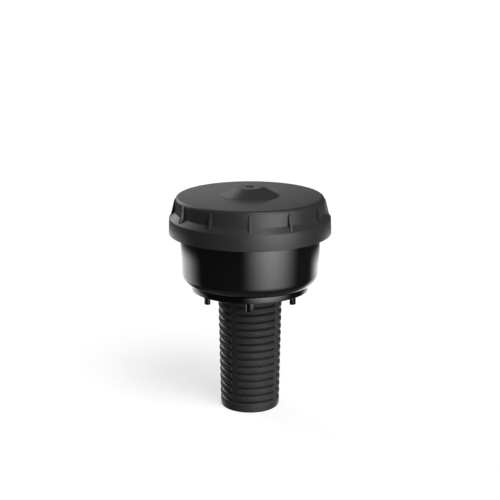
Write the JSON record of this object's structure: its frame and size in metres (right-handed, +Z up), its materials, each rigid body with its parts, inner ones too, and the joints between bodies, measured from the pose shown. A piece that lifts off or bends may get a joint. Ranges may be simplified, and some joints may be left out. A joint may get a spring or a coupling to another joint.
{
  "type": "pop up sprinkler nozzle",
  "caption": "Umbrella bubbler nozzle for a pop-up sprinkler riser: ribbed round cap with a centre cone, glossy threaded cup, spanner pegs and a long ribbed inlet strainer.",
  "frame": {"origin": "centre of the strainer's underside, on the surface that the nozzle stands on", "axes": "+Z up along the nozzle's axis, from the strainer to the cap's cone; -Y is the front, where one grip rib and one spanner peg lie; +X to the right"},
  "size_m": [0.03, 0.03, 0.0423],
  "materials": {
    "cap_plastic": "satin black moulded plastic with a fine spark-eroded texture",
    "cup_plastic": "high-gloss black moulded plastic",
    "base_plastic": "semi-gloss black moulded plastic",
    "valve_body_plastic": "smooth dark moulded plastic",
    "strainer_plastic": "satin black moulded plastic",
    "screen_plastic": "fine black moulded screen",
    "seal_rubber": "black moulded rubber",
    "flow_rubber": "dark soft elastomer",
    "acetal": "natural white moulded acetal",
    "stainless": "turned stainless steel"
  },
  "bodies": {
    "nozzle_body": {"deflector_cap": "cap_plastic", "distributor": "valve_body_plastic", "cup_body": "cup_plastic", "threaded_base": "base_plastic", "riser_seal": "seal_rubber", "body_oring": "seal_rubber", "orifice_plate": "acetal", "flow_washer": "flow_rubber", "washer_retainer": "acetal"},
    "adjuster": {"adjusting_screw": "stainless", "screw_oring": "seal_rubber", "screw_clip": "stainless"},
    "throttle": {"throttle_plug": "acetal"},
    "strainer": {"strainer_frame": "strainer_plastic", "strainer_mesh": "screen_plastic", "strainer_end_cap": "strainer_plastic"}
  },
  "joints": [
    {"name": "screw_turn", "type": "hinge", "parent": "nozzle_body", "child": "adjuster", "pos_m": [0, 0, 0.039], "axis": [0, 0, 1], "range_deg": [-1080, 0]},
    {"name": "throttle_travel", "type": "slide", "parent": "nozzle_body", "child": "throttle", "axis": [0, 0, 1], "range_m": [-0.00135, 0]},
    {"name": "strainer_release", "type": "slide", "parent": "strainer", "child": "nozzle_body", "axis": [0, 0, 1], "range_m": [0, 0.018]}
  ],
  "couplings": [
    {"joint": "screw_turn", "follows": "throttle_travel", "rad_per_m": 13963}
  ]
}
